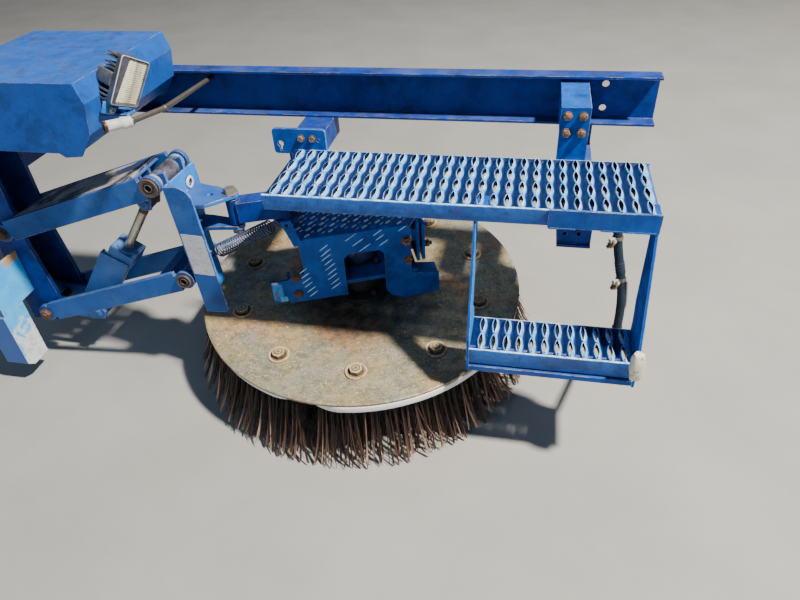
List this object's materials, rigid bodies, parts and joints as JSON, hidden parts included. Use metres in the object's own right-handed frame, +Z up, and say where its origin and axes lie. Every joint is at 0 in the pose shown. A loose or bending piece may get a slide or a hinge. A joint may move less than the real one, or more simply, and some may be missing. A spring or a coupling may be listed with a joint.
{
  "type": "gutter broom unit with boarding step",
  "caption": "Side broom unit of a street sweeper: blue parallel-link arm with lift cylinder, swinging tilted disc broom of rusty wire, and a serrated two-tier boarding step on one beam.",
  "frame": {"origin": "centre of the mounting beam's bolt pattern, on the beam's back face, which meets the chassis rail", "axes": "+X forward along the vehicle, +Y inboard towards the chassis, out of the beam's back face, +Z up"},
  "size_m": [1.81, 1.0209, 0.9464],
  "materials": {
    "blue_paint": "satin, chipped",
    "bare_steel": "worn, light rust",
    "zinc": "zinc plated, dull",
    "chrome_rod": "polished, yellowed",
    "black_housing": "textured",
    "motor_paint": "dark, dusty",
    "lamp_lens": "ribbed, yellowed",
    "white_plastic": "scuffed",
    "cream_rubber": "matt",
    "hose_rubber": "matt",
    "brass": "tarnished",
    "bristle_wire": "rusty"
  },
  "bodies": {
    "root": {"mounting_beam": "blue_paint", "outrigger_box": "blue_paint", "work_light_housing": "black_housing", "work_light_lens": "lamp_lens", "work_light_bracket": "blue_paint", "water_nozzle": "white_plastic", "nozzle_pipe": "zinc", "link_hanger": "blue_paint", "hanger_pins": "bare_steel", "hanger_guard": "blue_paint", "cylinder_bracket": "blue_paint", "upper_tread": "blue_paint", "tread_nosing": "blue_paint", "lower_tread": "blue_paint", "lower_tread_bar": "blue_paint", "step_hanger_left": "blue_paint", "step_hanger_right": "blue_paint", "step_bracket_left": "blue_paint", "step_bracket_right": "blue_paint", "step_arm_left": "blue_paint", "step_arm_right": "blue_paint", "corner_bumper": "cream_rubber", "spray_hose": "hose_rubber", "hose_fittings": "brass"},
    "upper_arm": {"upper_arm": "blue_paint", "arm_cover_plate": "bare_steel"},
    "lower_arm": {"lower_arm": "blue_paint"},
    "coupler": {"coupler": "blue_paint", "coupler_pins": "bare_steel", "swing_pin": "bare_steel", "return_spring": "bare_steel"},
    "swing_arm": {"swing_arm": "blue_paint", "motor_mount": "blue_paint", "tilt_bracket": "blue_paint", "broom_motor": "motor_paint", "motor_ports": "zinc"},
    "broom": {"motor_hub": "motor_paint", "broom_disc": "bare_steel", "disc_bolts": "bare_steel", "broom_segments": "white_plastic", "bristles": "bristle_wire"},
    "cylinder_barrel": {"cylinder_barrel": "blue_paint"},
    "cylinder_rod": {"cylinder_rod": "chrome_rod"}
  },
  "joints": [
    {"name": "lift", "type": "hinge", "parent": "root", "child": "upper_arm", "pos_m": [-0.79258, -0.301, -0.28045], "axis": [0, -1, 0], "range_deg": [0, 6]},
    {"name": "lower_arm_pivot", "type": "hinge", "parent": "root", "child": "lower_arm", "pos_m": [-0.77658, -0.301, -0.56045], "axis": [0, -1, 0], "range_deg": [-0.5, 6.5]},
    {"name": "coupler_level", "type": "hinge", "parent": "upper_arm", "child": "coupler", "pos_m": [-0.295, -0.301, -0.113], "axis": [0, -1, 0], "range_deg": [-6.5, 0.5]},
    {"name": "broom_swing", "type": "hinge", "parent": "coupler", "child": "swing_arm", "pos_m": [-0.13256, -0.294, -0.215], "axis": [0, 0, 1], "range_deg": [0, 25], "stiffness_Nm_per_rad": 150, "springref_deg": -20.05, "deforming": ["return_spring"]},
    {"name": "broom_spin", "type": "hinge", "parent": "swing_arm", "child": "broom", "pos_m": [0.156, -0.178, -0.505], "axis": [0.014, -0.0767, 0.997], "continuous": true},
    {"name": "cylinder_swing", "type": "hinge", "parent": "root", "child": "cylinder_barrel", "pos_m": [-0.643, -0.301, -0.575], "axis": [0, -1, 0], "range_deg": [-0.5, 4.53]},
    {"name": "rod_slide", "type": "slide", "parent": "cylinder_barrel", "child": "cylinder_rod", "axis": [0.5856, 0, 0.8106], "range_m": [-0.002, 0.03232]}
  ],
  "couplings": [
    {"joint": "lower_arm_pivot", "follows": "lift", "ratio": 1},
    {"joint": "coupler_level", "follows": "lift", "ratio": -1},
    {"joint": "cylinder_swing", "follows": "lift", "ratio": 0.67085},
    {"joint": "rod_slide", "follows": "lift", "m_per_rad": 0.28952}
  ]
}
